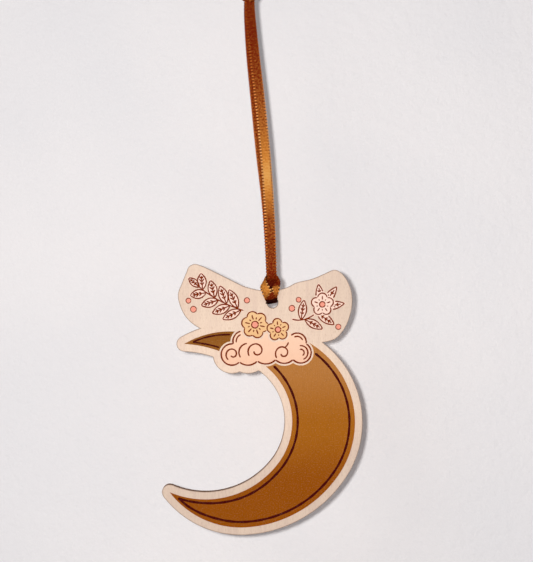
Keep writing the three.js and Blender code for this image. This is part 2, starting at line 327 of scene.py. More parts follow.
# Satin ribbon with its light and shade painted into the colour: deep red brown as painted shade where it
# turns from the light, antique gold where it catches it, with a picot of light and dark stitches along both
# selvedges. Tone is the painted light: 0 for deep, 1 for gold, 1.5 for a painted glint, and -0.3 for the
# painted shade inside a fold.
ribbon = {
    "width": 3.25, "thickness": 0.28, "columns": 14, "step": 0.16,
    "picotPitch": 1.0, "picotRise": 0.05, "picotReach": 0.07, "picotFrom": (1.08, 1.18),
    "warpPitch": 0.21, "weftPitch": 0.42,
    "uneven": {"streak": 0.4, "mottle": 0.5, "grain": 2.2},  # how far each moves the tone
    "foldShade": (2, 0, 0), "deep": (98, 14, 0), "gold": (184, 116, 46), "glint": (197, 143, 76),
    # the picot's stitches and gaps, each in a shaded and a lit copy, picked by the painted light in the
    # tone
    "stitchDeep": (204, 102, 24), "stitchGold": (220, 154, 88),
    "gapDeep": (30, 0, 0), "gapGold": (62, 18, 0),
}


# Colour by level = tone + streak + mottle + grain + weave, from the painted shade of a fold and deep red to
# gold and a painted glint; over the selvedges, gap or stitch by the sine along the ribbon, each lit or
# shaded by the tone
def satinFinish():
    look = Finish("satinRibbon")
    along, across, tone = look.mark("along"), look.mark("across"), look.mark("tone")
    streak = look.noise((across * 2.2, along * 0.45, 0.0), 1.6, 3.0, 0.6)
    mottle = look.noise((across, along, 0.0), 1.3, 2.0)
    grain = look.noise((across * 2.2 + along, along * 1.9, 0.0), 1.0, 2.0, 0.6)
    warp = (across * (2 * math.pi / ribbon["warpPitch"])).sine()
    weft = (along * (2 * math.pi / ribbon["weftPitch"]) + across * 3.0).sine()
    uneven = ribbon["uneven"]
    level = tone + (streak - 0.5) * uneven["streak"] + (mottle - 0.5) * uneven["mottle"]
    level = level + (grain - 0.5) * uneven["grain"] + warp * 0.03 + weft * 0.04
    dark = look.mix(tone.ramp(-0.3, 0.0), ribbon["foldShade"], ribbon["deep"])
    body = look.mix(level.ramp(0.0, 1.0), dark, ribbon["gold"])
    body = look.mix(level.ramp(1.0, 1.5), body, ribbon["glint"])
    lit = tone.ramp(0.0, 0.6)
    stitch = look.mix(lit, ribbon["stitchDeep"], ribbon["stitchGold"])
    gap = look.mix(lit, ribbon["gapDeep"], ribbon["gapGold"])
    beads = (along * (2 * math.pi / ribbon["picotPitch"])).sine().rise(-0.2, 0.4)
    picot = look.mix(beads, gap, stitch)
    edge = across.size().rise(*ribbon["picotFrom"]) * tone.ramp(-0.05, 0.3)
    colour = look.mix(edge, body, picot)
    height = warp * 0.5 + weft * 0.35 + streak * 0.8
    return look.surface(
        Base_Color=colour, Roughness=streak * 0.14 + 0.46, Normal=look.bump(height, 0.00002, 0.6),
        Metallic=0.2, Specular_IOR_Level=0.02)


# A ribbon between two edge lines: p = middle + x half + crown (1 - x^2) face +- thickness(x), where x runs
# from -1 to 1 across it and face stands off it. The selvedges are thinner, with a bead at each picot.
def ribbonSolid(left, right, crown, tones, start=0.0, slant=0.0):
    x = np.linspace(-1, 1, ribbon["columns"] + 1)[None, :]
    middle, half = (left + right) / 2, (right - left) / 2
    travel = np.gradient(middle, axis=0)
    face = unit(np.cross(travel, half))
    run = lengths(middle)[:, None]
    beads = np.sin(2 * math.pi * (run + start) / ribbon["picotPitch"])
    edge = ease(np.abs(x), 0.8, 0.86)
    rise = ribbon["thickness"] / 2 * (1 - 0.45 * edge) + ribbon["picotRise"] * edge * (0.5 + 0.5 * beads)
    reach = x * (1 + ribbon["picotReach"] * beads * ease(np.abs(x), 0.8, 1.0))
    crowned = (crown * (1 - x**2))[..., None] * face[:, None]
    sheet = middle[:, None] + half[:, None] * reach[..., None] + crowned
    if slant:  # the end is cut on a slope
        cut = ease(run / run[-1], 0.5, 1.0) * slant * (x + 1) / 2
        sheet = sheet - cut[..., None] * unit(travel)[:, None]
    lift = rise[..., None] * face[:, None]
    tone = np.interp(run / run[-1], *np.array(tones, float).T)
    return slab(sheet + lift, sheet - lift, along=run + start, across=x * ribbon["width"] / 2, tone=tone)


# The loop's two strands, on the routes of their solids: each flat to the front, with a slight roll along it
strands = {
    "intoHitch": 1.0, "intoKnot": 1.6, "crown": 0.06,
    "front": [(-0.26, -0.4, 8.7), (-0.6, -0.55, 20.0), (-1.2, -0.7, 33.3), (-2.44, -0.8, 49.6),
              (-4.1, -0.8, 65.8), (-5.9, -0.65, 81.0), (-7.2, -0.45, 93.4), (-7.5, -0.4, 97.3)],
    "rear": [(-0.33, 0.4, 8.7), (-0.95, 0.55, 20.0), (-2.0, 0.7, 33.3), (-3.9, 0.8, 49.6),
             (-5.5, 0.8, 65.8), (-6.95, 0.65, 81.0), (-7.65, 0.45, 93.4), (-7.6, 0.4, 97.3)],
    "frontRoll": [(0, 2), (0.3, 5), (0.55, -3), (0.85, 4), (1, 8)],
    "rearRoll": [(0, -3), (0.35, -8), (0.7, 4), (1, 2)],
    # painted light by share from the hitch: a highlight a third of the way up, shade at the ends, the rear
    # darker
    "frontTones": [(0, -0.05), (0.04, 0.1), (0.14, 0.18), (0.22, 0.32), (0.3, 0.85), (0.37, 1.5),
                   (0.44, 0.9), (0.56, 0.43), (0.72, 0.17), (0.88, 0.02), (1, 0.06)],
    "rearTones": [(0, -0.12), (0.1, 0.05), (0.3, 0.16), (0.45, 0.24), (0.66, 0.1), (0.9, 0.0), (1, -0.05)],
}
satin = satinFinish()


# Edges = route -+ half width * side, and side = cos(roll) times the normal in the plan's plane + sin(roll)
# times the way to the back
def strandEdges(route, roll):
    top, foot = np.array(route[-1], float), np.array(route[0], float)
    ends = [foot - (0, 0, strands["intoHitch"]), *route[1:-1], top + (0, 0, strands["intoKnot"])]
    line = evenly(smoothLine(ends, 240), ribbon["step"])
    turn = np.radians(np.interp(lengths(line) / lengths(line)[-1], *np.array(roll, float).T))[:, None]
    side = sideways(line) * np.cos(turn) + np.array([0, 1.0, 0]) * np.sin(turn)
    reach = side * ribbon["width"] / 2
    return line[::-1], (line - reach)[::-1], (line + reach)[::-1]


def makeStrand(name, which, node):
    line, left, right = strandEdges(strands[which], strands[which + "Roll"])
    tones = [(1 - share, tone) for share, tone in reversed(strands[which + "Tones"])]
    solid = ribbonSolid(left, right, strands["crown"], tones)
    piece = makePiece(name, [solid], satin)
    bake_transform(piece)
    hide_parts(node)
    return piece, place(line)


strandFront, frontLine = makeStrand("strandFront", "front", "strand_front")
strandRear, rearLine = makeStrand("strandRear", "rear", "strand_rear")
print("strands", [round(float(lengths(line)[-1]), 4) for line in (frontLine, rearLine)])


# Hitch: the ribbon's folds in front of the board, from each fold's top down, as left and right edge points.
# Their tones are painted light: a painted highlight on the legs, the upper and under folds deep red as
# painted shade where they turn from the light, the saddle darker at its ends, and the entry, the dark sheet
# under the folds and the passage near black as painted shade in the hole and between the folds.
# The folds behind it are the same ones, mirrored.
hitch = {
    "leftLeg": {
        "left": [(-2.1, -0.95, 8.75), (-3.0, -1.75, 6.95), (-3.98, -2.25, 5.0), (-3.5, -2.4, 3.4),
                 (-2.95, -2.3, 2.0), (-2.35, -1.9, 0.7)],
        "right": [(-2.05, -1.1, 8.4), (-2.1, -2.0, 7.2), (-1.35, -2.75, 5.7), (-0.3, -3.0, 3.8),
                  (-1.05, -2.75, 2.7), (-2.0, -2.1, 1.0)],
        "crown": 0.3, "tones": [(0, 0.35), (0.2, 0.45), (0.45, 0.95), (0.7, 0.85), (0.9, 0.4), (1, 0.1)]},
    "upperFold": {
        "left": [(-1.9, -0.8, 8.95), (-1.3, -1.2, 7.5), (-0.7, -1.65, 6.4), (-0.15, -2.0, 5.4),
                 (0.1, -2.0, 4.4), (-0.4, -1.8, 3.0)],
        "right": [(1.3, -0.8, 9.05), (2.15, -1.25, 7.8), (2.52, -1.7, 6.8), (2.5, -2.05, 5.8),
                  (2.2, -2.0, 4.6), (1.2, -1.8, 3.0)],
        "crown": 0.2, "tones": [(0, 0.08), (0.15, 0.0), (0.55, -0.04), (1, -0.1)]},
    "rightLeg": {
        "left": [(-0.35, -2.25, 5.05), (-0.15, -2.6, 4.3), (0.1, -2.65, 3.6), (0.35, -2.5, 2.8),
                 (0.5, -2.1, 2.0), (0.45, -1.4, 1.1)],
        "right": [(2.35, -2.35, 5.6), (2.35, -2.6, 4.7), (2.1, -2.65, 3.7), (1.85, -2.45, 2.7),
                  (1.55, -2.0, 1.8), (1.25, -1.3, 1.0)],
        "crown": 0.22, "tones": [(0, 0.5), (0.15, 0.75), (0.4, 0.6), (0.65, 0.25), (1, -0.1)]},
    "underFold": {
        "left": [(-0.4, -2.6, 3.7), (-1.3, -2.5, 2.4), (-2.1, -2.1, 1.2), (-2.15, -1.75, 0.6)],
        "right": [(0.7, -2.4, 3.1), (1.0, -2.3, 2.3), (1.3, -2.0, 1.7), (1.45, -1.75, 1.2)],
        "crown": 0.15, "tones": [(0, 0.06), (0.5, 0.03), (1, -0.12)]},
    "entry": {
        "left": [(-2.1, -2.0, 1.0), (-2.2, -1.9, 0.4), (-2.1, -1.75, -0.2), (-1.6, -0.6, -0.5)],
        "right": [(1.45, -2.0, 1.7), (1.62, -1.9, 1.2), (1.66, -1.75, 0.6), (1.55, -0.6, 0.1)],
        "crown": 0.05, "tones": [(0, -0.26), (1, -0.3)]},
    # a dark sheet behind the folds, near black: painted shade where the gaps between them would show
    # through
    "shadeSheet": {
        "left": [(-1.95, -0.5, 8.75), (-2.6, -1.3, 6.6), (-2.7, -1.75, 4.6), (-2.3, -1.75, 2.4),
                 (-1.9, -1.7, 0.8)],
        "right": [(1.2, -0.5, 8.75), (1.9, -1.3, 6.6), (1.9, -1.75, 4.6), (1.5, -1.75, 2.4),
                  (1.2, -1.7, 0.9)],
        "crown": 0.1, "tones": [(0, -0.25), (0.4, -0.3), (1, -0.3)]},
    "saddle": {"layers": [(0.0, 1.6, 0.1), (0.45, 1.5, 0.5)],  # how far in, half width, picot's start
               "centre": -0.2, "sway": 0.12, "under": 4.9, "top": 8.25, "reach": 2.1,
               "tones": [(0, -0.2), (0.25, -0.12), (0.5, 0.2), (1, -0.2)]},
    "passage": {"radius": 1.6, "from": -1.7, "to": 1.7, "low": -0.1, "tone": -0.25},
    "rows": 60,
}


# A ribbon between the curves through a fold's left and right points; mirror -1 puts it behind the board
def foldSolid(fold, mirror, start):
    sign = np.array([1, mirror, 1])
    left, right = (smoothLine(np.array(fold[side]) * sign, hitch["rows"]) for side in ("left", "right"))
    return ribbonSolid(left, right, fold["crown"] * mirror, fold["tones"], start)


# Over the board's top edge: (u, y, v) = (centre + sway sin(2a), reach sin(a), under + (top - under)
# cos(a)^0.6), a from -90 to 90 degrees
def saddleSolid(lift, halfWidth, start):
    saddle = hitch["saddle"]
    a = np.radians(np.linspace(-90, 90, hitch["rows"]))
    y = (saddle["reach"] - lift) * np.sin(a)
    v = saddle["under"] + (saddle["top"] - lift - saddle["under"]) * np.cos(a) ** 0.6
    line = np.stack([saddle["centre"] + saddle["sway"] * np.sin(2 * a), y, v], -1)
    reach = np.array([halfWidth, 0, 0])
    return ribbonSolid(line + reach, line - reach, 0.0, saddle["tones"], start)


# Crumpled ribbon through the hole, near black as painted shade: rings of a half disc,
# (u, v) = radius (cos(a), sin(a)), flat below
def passageSolid():
    passage = hitch["passage"]
    a = np.radians(np.linspace(8, 172, 40))
    y = np.linspace(passage["from"], passage["to"], 16)[:, None]
    pleats = 1 + 0.03 * np.sin(9 * a[None, :] + 1.7 * y)
    reach = passage["radius"] * pleats
    top = np.stack([reach * np.cos(a), np.broadcast_to(y, pleats.shape),
                    np.maximum(reach * np.sin(a), passage["low"])], -1)
    under = top[:, ::-1] * (1, 1, 0) + (0, 0, passage["low"])
    rings = np.concatenate([top, under], 1)
    return tube(rings, along=y, across=rings[..., 0] * 0.7, tone=passage["tone"])


def makeHitch():
    names = ("leftLeg", "upperFold", "rightLeg", "underFold", "entry", "shadeSheet")
    starts = {1: (0.1, 0.3, 0.5, 0.2, 0.0, 0.1), -1: (0.35, 0.6, 0.15, 0.4, 0.2, 0.3)}
    front, rear = ([foldSolid(hitch[name], side, start) for name, start in zip(names, starts[side])]
                   for side in (1, -1))
    over = [saddleSolid(*layer) for layer in hitch["saddle"]["layers"]] + [passageSolid()]
    groups = {"hitchFrontFolds": front, "hitchRearFolds": rear, "hitchOverEdge": over}
    return [makePiece(name, solids, satin, "hitch", ["hitch"]) for name, solids in groups.items()]


hitchPieces = makeHitch()
print("hitch")


# Knot: an overhand knot in both strands, measured from the crotch, with two short tails, its light and
# shade painted in their tones
knot = {
    "middle": 3.7, "size": (5.4, 3.9, 5.6),
    "wraps": [  # tilt and lean in degrees, half width, how far off the lump, its shift along it, its tone
        {"tilt": 38, "lean": 8, "halfWidth": 1.35, "stand": 0.25, "shift": 0.1, "tone": 0.38},
        {"tilt": 33, "lean": 5, "halfWidth": 1.3, "stand": -0.1, "shift": 0.9, "tone": 0.26},
        {"tilt": -42, "lean": -10, "halfWidth": 1.3, "stand": -0.25, "shift": -0.5, "tone": 0.2},
    ],
    "tails": [
        [(-0.9, -0.2, 5.3), (-1.6, -0.4, 8.1), (-2.9, -0.3, 10.9), (-4.9, 0.1, 13.3), (-7.2, 0.6, 14.9)],
        [(0.9, 0.2, 5.3), (1.4, 0.5, 8.3), (2.4, 0.7, 11.5), (4.1, 0.5, 14.5), (6.1, 0.0, 16.9)],
    ],
    "tailSlant": 2.2, "tailCrown": 0.12, "tailTones": [(0, 0.05), (0.3, 0.45), (0.6, 0.8), (1, 0.45)],
    "wrapCrown": 0.25, "wrapStand": 0.35,
}
knotMiddle = np.array(crotchPlan) + (0, 0, knot["middle"])


# An ellipsoid with pleats round it: p = size/2 (sin(a) cos(b), sin(a) sin(b), cos(a)), and round it
# times 1 + 0.05 sin(a) sin(4b + 6 cos(a))
def knotLump():
    a = np.radians(np.linspace(3, 177, 40))[:, None]
    b = np.linspace(0, 2 * math.pi, 56, endpoint=False)[None, :]
    pleat = 1 + 0.05 * np.sin(4 * b + 6 * np.cos(a)) * np.sin(a)
    width, depth, height = np.array(knot["size"]) / 2
    rings = np.stack([width * np.sin(a) * np.cos(b) * pleat, depth * np.sin(a) * np.sin(b) * pleat,
                      height * np.cos(a) * np.ones_like(b)], -1)
    tone = 0.06 + 0.1 * np.sin(2 * b) * np.ones_like(a)
    return tube(rings + knotMiddle, along=a * 3, across=np.sin(3 * b) * 1.2, tone=tone)


# One turn of ribbon round the lump: an ellipse in a plane that is tilted by tilt and lean
def wrapSolid(wrap):
    b = np.linspace(-0.25 * math.pi, 2.05 * math.pi, 150)[:, None]
    width, depth, _ = np.array(knot["size"]) / 2
    tilt, lean = math.radians(wrap["tilt"]), math.radians(wrap["lean"])
    out = np.concatenate([np.cos(b) * math.cos(tilt), np.sin(b), np.cos(b) * math.sin(tilt)], 1)
    side = unit(np.array([[-math.sin(tilt), math.sin(lean), math.cos(tilt)]]))
    reach = np.array([width, depth, width]) + knot["wrapStand"] + wrap["stand"]
    line = knotMiddle + out * reach + side * (wrap["shift"] + 0.5 * (b / math.pi - 1))
    tones = [(share, wrap["tone"] + 0.25 * math.sin(9 * share)) for share in np.linspace(0, 1, 9)]
    half = side * wrap["halfWidth"]
    return ribbonSolid(line - half, line + half, knot["wrapCrown"], tones)


# A ribbon along the curve through a tail's points, gathered to a narrow foot and cut on a slope
def tailSolid(route, start):
    line = evenly(smoothLine(np.array(route) + crotchPlan, 120), ribbon["step"])
    gather = ease(lengths(line) / lengths(line)[-1], -0.6, 0.25)[:, None]
    reach = sideways(line) * ribbon["width"] / 2 * gather
    look = knot["tailCrown"], knot["tailTones"], start, knot["tailSlant"]
    return ribbonSolid(line - reach, line + reach, *look)


def makeKnot():
    wraps = [wrapSolid(wrap) for wrap in knot["wraps"]]
    tails = [tailSolid(route, start) for route, start in zip(knot["tails"], (0.0, 0.3))]
    groups = {"knotLump": [knotLump()], "knotWraps": wraps, "knotTails": tails}
    return [makePiece(name, solids, satin, "root", ["knot"]) for name, solids in groups.items()]


knotPieces = makeKnot()
print("knot")


def declareStrand(line):
    line[::4].tolist() + [line[-1].tolist()]


declareStrand(frontLine)
declareStrand(rearLine)


# Plywood: veneers of pale wood with an upright grain, browned where the laser cut them
board = {
    "rings": {  # inset from the cut edge, depth and how browned, from the front face to the back face
        "front": [(0.5, -1.5, 0.0), (0.16, -1.5, 0.34), (0.04, -1.475, 0.75), (0.0, -1.4, 0.85),
                  (0.0, -1.0, 0.6), (0.05, -0.92, 1.0), (0.3, -0.9, 1.0)],
        "core": [(0.3, -0.9, 1.0), (0.05, -0.88, 1.0), (0.02, -0.7, 0.9), (0.02, 0.7, 0.9),
                 (0.05, 0.88, 1.0), (0.3, 0.9, 1.0)],
        "back": [(0.3, 0.9, 1.0), (0.05, 0.92, 1.0), (0.0, 1.0, 0.6), (0.0, 1.4, 0.85), (0.04, 1.475, 0.8),
                 (0.16, 1.5, 0.4), (0.6, 1.5, 0.0)]},
    "holeRadius": 1.8,
    "leastSide": 0.08,  # sides of the outline under this are dropped
    "cornerTurn": 30,  # a turn over this, in degrees, stays a corner
    "warm": (240, 214, 190), "cool": (229, 201, 180), "tick": (192, 156, 126), "char": (96, 58, 32),
    "paintedShade": (0.8, 0.8, 0.81, 1.0),  # painted shade: the wood made darker towards the lower tip, the right edge and the lobes
    "tipShade": (-34.0, -60.0), "edgeShade": (6.0, 28.0), "lobeShade": (-16.0, -2.0),
    "coreWall": (120, 84, 52), "coreChar": (66, 42, 26),
}


# Veneer colour: fibres and wider streaks stretched along v, short pores, and a wide slow figure
def veneerGrain(look):
    u, v, depth = look.plan()
    streak = look.noise((u * 1.5, v * 0.07, depth), 1.0, 2.0, 0.7)
    fibre = look.noise((u * 5.0, v * 0.28, depth * 2.0), 1.0, 3.0, 0.6)
    pores = look.noise((u * 9.0, v * 0.9, depth * 2.0), 1.0, 1.0)
    figure = look.noise((u * 0.3, v * 0.05, depth), 1.0, 2.0)
    return fibre, pores, (figure + streak) * 0.5


# Colour = warm to cool by fibre / 2 + figure, ticks in the pores, times a painted shade towards the lower
# tip, the right edge and the lobes, and char by the scorch mark
def veneerFinish(name):
    look = Finish(name)
    fibre, pores, figure = veneerGrain(look)
    scorch = look.mark("scorch")
    share = (fibre * 0.5 + figure).rise(0.55, 0.95)
    wood = look.mix(share, board["warm"], board["cool"])
    wood = look.mix(pores.rise(0.56, 0.72) * 0.45, wood, board["tick"])
    u, v, _ = look.plan()
    paintedShade = v.ramp(*board["tipShade"]) + u.ramp(*board["edgeShade"]) * 0.45
    paintedShade = paintedShade + v.ramp(*board["lobeShade"]) * 0.35
    wood = look.mix(paintedShade, wood, board["paintedShade"], "MULTIPLY")
    wood = look.mix(scorch.rise(0.0, 1.0), wood, board["char"])
    return look.surface(Base_Color=wood, Roughness=fibre * 0.12 + 0.66, Specular_IOR_Level=0.2,
                        Normal=look.bump(fibre + pores * 0.5, 0.00003, 0.5))


# Colour = wall to char by the streaks, and more char where the burn noise is high
def coreFinish():
    look = Finish("scorchedCore")
    u, v, depth = look.plan()
    streak = look.noise((u * 0.9, v * 0.9, depth * 6.0), 1.0, 3.0)
    burn = look.noise((u * 3.5, v * 3.5, depth * 0.6), 1.0, 2.0)
    wall = look.mix(streak.rise(0.3, 0.7), board["coreWall"], board["coreChar"])
    wall = look.mix(burn.rise(0.5, 0.75) * 0.6, wall, board["coreChar"])
    return look.surface(Base_Color=wall, Roughness=0.82, Specular_IOR_Level=0.15,
                        Normal=look.bump(streak + burn, 0.00004, 0.6))


# Back from the row frame's millimetres to the plan, so that makePiece() can place every solid the same way
def toPlan(points):
    x, z = points[:, 0] - holeMiddle.x / mm, points[:, 2] - holeMiddle.z / mm
    return np.stack([x * turnCos - z * turnSin, points[:, 1], x * turnSin + z * turnCos], -1)


# The loops round one flat face of a node. A side that only one of the face's triangles has is on a rim,
# and each corner's place along its loop comes from list ranking: every pass doubles the stretch counted.
def rimLoops(node, depth):
    mesh = frame["nodes"][node].data
    corners = np.empty(len(mesh.vertices) * 3)
    mesh.vertices.foreach_get("co", corners)
    triangles = np.empty(len(mesh.loops), int)
    mesh.loops.foreach_get("vertex_index", triangles)
    spots, same = np.unique(np.round(corners.reshape(-1, 3) / mm, 4), axis=0, return_inverse=True)
    triangles = same.ravel()[triangles.reshape(-1, 3)]
    cap = triangles[np.all(np.abs(spots[triangles][:, :, 1] - depth) < 1e-3, axis=1)]
    sides = np.concatenate([cap[:, [k, (k + 1) % 3]] for k in range(3)])
    code = sides[:, 0] * len(spots) + sides[:, 1]
    rim = sides[~np.isin(code, sides[:, 1] * len(spots) + sides[:, 0])]
    own = np.arange(len(spots))
    follow = own.copy()
    follow[rim[:, 0]] = rim[:, 1]
    passes = range(int(np.ceil(np.log2(len(spots)))) + 1)
    first, jump = own, follow
    for _ in passes:
        first, jump = np.minimum(first, first[jump]), jump[jump]
    ahead = (follow != first).astype(int)
    jump = np.where(follow == first, own, follow)
    ahead[jump == own] = 0
    for _ in passes:
        ahead, jump = ahead + ahead[jump], jump[jump]
    onRim = np.unique(rim[:, 0])
    loops = [onRim[first[onRim] == start] for start in np.unique(first[onRim])]
    return spots, [loop[np.argsort(-ahead[loop])] for loop in loops]


# Hermite points between a loop's corners, so that its arcs run round; a sharp turn stays a corner:
# p(t) = a(2t^3 - 3t^2 + 1) + leave(t^3 - 2t^2 + t) + b(3t^2 - 2t^3) + arrive(t^3 - t^2)
def rounded(line, steps=3):
    ahead = np.roll(line, -1, 0) - line
    span = np.linalg.norm(ahead, axis=1, keepdims=True)
    heading = ahead / span
    before = np.roll(heading, 1, 0)
    soft = np.sum(heading * before, 1, keepdims=True) > math.cos(math.radians(board["cornerTurn"]))
    tangent = np.where(soft, unit(heading / span + before / np.roll(span, 1, 0)), 0)
    leave = (np.where(soft, tangent, heading) * span)[:, None]
    arrive = (np.where(np.roll(soft, -1, 0), np.roll(tangent, -1, 0), heading) * span)[:, None]
    t = (np.arange(steps) / steps)[None, :, None]
    a, b = line[:, None], np.roll(line, -1, 0)[:, None]
    points = a * (2 * t**3 - 3 * t**2 + 1) + leave * (t**3 - 2 * t**2 + t) + b * (3 * t**2 - 2 * t**3)
    return (points + arrive * (t**3 - t**2)).reshape(-1, 2)


# The ply's edges on the plan: the cut outline, and the hanging hole as a true circle
def plyEdges(node, depth):
    spots, loops = rimLoops(node, depth)
    outline = toPlan(spots[max(loops, key=len)])[:, [0, 2]]
    outline = outline[np.linalg.norm(np.roll(outline, -1, 0) - outline, axis=1) > board["leastSide"]]
    after = np.roll(outline, -1, 0)
    area = np.sum(outline[:, 0] * after[:, 1] - outline[:, 1] * after[:, 0]) / 2
    outline = outline if area > 0 else outline[::-1]
    return [rounded(outline), arcLine((0, 0), board["holeRadius"], 360, 0)[:-1]]


# A ply: each ring stands inset along the mitred normal, p = corner + inset (n1 + n2) / (1 + n1.n2), where
# n1 and n2 point into the wood, and both faces are filled between the edges
def plySolid(node, rings):
    insets, depths, scorch = np.array(rings, float).T
    points, faces, marks, base, lids = [], [], [], 0, [[], []]
    for line in plyEdges(node, depths[0]):
        normal = turned(unit(np.roll(line, -1, 0) - line))
        before = np.roll(normal, 1, 0)
        miter = (normal + before) / np.maximum(1 + np.sum(normal * before, 1, keepdims=True), 0.35)
        flat = line[None] + insets[:, None, None] * miter[None]
        points.append(lifted(flat, depths[:, None]).reshape(-1, 3))
        faces += (gridFaces(len(rings), len(line), True) + base).tolist()
        marks.append(np.repeat(scorch, len(line)))
        lids[0].append(np.arange(len(line)) + base)
        lids[1].append(np.arange(len(line)) + base + (len(rings) - 1) * len(line))
        base += len(rings) * len(line)
    points = np.concatenate(points)
    for lid in lids:
        order = np.concatenate(lid)
        flat = [[(u, v, 0) for u, _, v in points[corners].tolist()] for corners in lid]
        faces += [[int(order[corner]) for corner in side] for side in tessellate_polygon(flat)]
    return {"points": points, "faces": faces, "marks": {"scorch": np.concatenate(marks)}}


def makePly(name, node, rings, material):
    makePiece(name, [plySolid(node, rings)], material, "board", [node], crease=30)


frontWood, backWood = veneerFinish("frontVeneerWood"), veneerFinish("backVeneerWood")
scorchedCore = coreFinish()
makePly("boardFrontVeneer", "front_veneer", board["rings"]["front"], frontWood)
makePly("boardCore", "core_ply", board["rings"]["core"], scorchedCore)
makePly("boardBackVeneer", "back_veneer", board["rings"]["back"][::-1], backWood)
print("board plies")


# Prints: thin ink on the veneer. The colour runs from upper to lower between the two heights in ends, and
# depth says how much the wood's grain shows through it.
blush = {"upper": (247, 214, 196), "middle": (246, 212, 193), "lower": (245, 209, 189),
         "ends": (8.0, -8.0), "depth": 0.16}
prints = {
    "moon": {"upper": (178, 116, 56), "middle": (163, 95, 16), "lower": (144, 74, 0),
             "ends": (-20.0, -60.0), "depth": 0.4},
    "horn": {"upper": (136, 82, 26), "middle": (143, 88, 30), "lower": (147, 92, 34),
             "ends": (-10.0, -18.0), "depth": 0.4},
    "cloud": {"upper": (247, 206, 176), "middle": (245, 200, 170), "lower": (243, 195, 164),
              "ends": (-9.0, -20.0), "depth": 0.16},
    "blossoms": {"upper": (238, 194, 142), "middle": (236, 189, 136), "lower": (234, 184, 130),
                 "ends": (-3.0, -12.0), "depth": 0.16},
    "branch": blush,
    "spray": blush,
}
inGrain = (0.62, 0.6, 0.56, 1.0)  # the ink's tint where it sinks into the grain


# Colour = upper to middle to lower by height, darker along the fibres and pores, paler in the speckles
def inkFinish(name, ink):
    look = Finish(name + "Ink")
    fibre, pores, figure = veneerGrain(look)
    u, v, _ = look.plan()
    depth, (top, bottom) = ink["depth"], ink["ends"]
    fall = (top - v) * (1 / (top - bottom))
    upper = look.mix(fall.rise(0.0, 0.5), ink["upper"], ink["middle"])
    colour = look.mix(fall.rise(0.5, 1.0), upper, ink["lower"])
    speckle = look.noise((u, v, 0.0), 2.4, 2.0, 0.7)
    light = look.mix(0.3, colour, board["warm"])
    sunk = (fibre * 0.6 + pores * 0.4).rise(0.45, 0.7) * depth
    colour = look.mix(sunk, colour, inGrain, "MULTIPLY")
    colour = look.mix(speckle.rise(0.5, 0.78) * depth * 0.8, colour, light)
    return look.surface(Base_Color=colour, Roughness=fibre * 0.14 + 0.55, Specular_IOR_Level=0.03,
                        Normal=look.bump(fibre + pores * 0.5, 0.00003, 0.4))


def dressPrints():
    for name, ink in prints.items():
        node = frame["nodes"][name + "_print"]
        node.data.materials.clear()
        node.data.materials.append(inkFinish(name, ink))


dressPrints()
print("print fills")


# Line art over the print, as raised ink: each stroke is a strip with a low crown, round at both ends
lineArt = {"width": 0.5, "fineWidth": 0.4, "berryWidth": 0.3, "step": 0.3,
           "top": -1.645, "shoulder": -1.615, "under": -1.49,  # depths
           "rust": (120, 42, 6), "dark": (68, 4, 2), "pink": (238, 154, 132)}


# Colour = the line's own, with a fifth of the wood's in patches
def lineFinish(name, colour):
    look = Finish(name)
    u, v, _ = look.plan()
    patchy = look.noise((u, v, 0.0), 3.2, 2.0)
    thin = look.mix(0.2, colour, board["warm"])
    ink = look.mix(patchy.rise(0.55, 0.8) * 0.6, colour, thin)
    return look.surface(Base_Color=ink, Roughness=patchy * 0.1 + 0.55, Specular_IOR_Level=0.02)


# Half width = width/2 sqrt(1 - (1 - d)^2), d the distance to the nearer end in half widths, at most 1
def stroke(line, width=None):
    half = (width or lineArt["width"]) / 2
    line = evenly(np.asarray(line, float), lineArt["step"])
    run = lengths(line)
    near = np.clip(np.minimum(run, run[-1] - run) / half, 0.04, 1)
    reach = half * np.sqrt(1 - (1 - near) ** 2) * (1 + 0.1 * np.sin(run * 1.3 + line[0, 0]))
    side = turned(unit(np.gradient(line, axis=0))) * reach[:, None]
    across = np.array([-1, 0, 1])[None, :, None]
    flat = line[:, None] + side[:, None] * across
    front = lifted(flat, [lineArt["shoulder"], lineArt["top"], lineArt["shoulder"]])
    return slab(front, front * (1, 0, 1) + (0, lineArt["under"], 0))


# A round dot: a square grid (x, y) carried to a disc by u = x sqrt(1 - y^2/2), v = y sqrt(1 - x^2/2)
def dot(centre, radius):
    x, y = np.meshgrid(np.linspace(-1, 1, 9), np.linspace(-1, 1, 9), indexing="ij")
    u, v = x * np.sqrt(1 - y * y / 2), y * np.sqrt(1 - x * x / 2)
    dome = lineArt["shoulder"] + (lineArt["top"] - lineArt["shoulder"]) * (1 - u * u - v * v)
    front = np.stack([centre[0] + radius * u, dome, centre[1] + radius * v], -1)
    return slab(front, front * (1, 0, 1) + (0, lineArt["under"], 0))


# Discs (u, v, radius) made wider
def grown(discs, by):
    return [(u, v, radius + by) for u, v, radius in discs]


# The stretches of a line that lie outside some discs (u, v, radius) and are longer than a least length
def openRuns(line, discs, least=0.6):
    free = np.ones(len(line), bool)
    for u, v, radius in discs:
        free &= np.hypot(line[:, 0] - u, line[:, 1] - v) > radius
    runs = np.split(np.arange(len(line)), np.flatnonzero(np.diff(free.astype(int))) + 1)
    return [line[run] for run in runs if free[run[0]] and len(run) > 2 and lengths(line[run])[-1] > least]


# Where two circles meet, on the chosen side of the line between their centres
def meet(a, radiusA, b, radiusB, side):
    gap = b - a
    apart = np.hypot(*gap)
    reach = (apart**2 + radiusA**2 - radiusB**2) / (2 * apart)
    ahead = gap / apart
    return a + ahead * reach + turned(ahead) * side * math.sqrt(radiusA**2 - reach**2)


# The direction from one point to another, 0 to 360 degrees
def bearing(a, b):
    return math.degrees(math.atan2(*(b - a)[::-1])) % 360


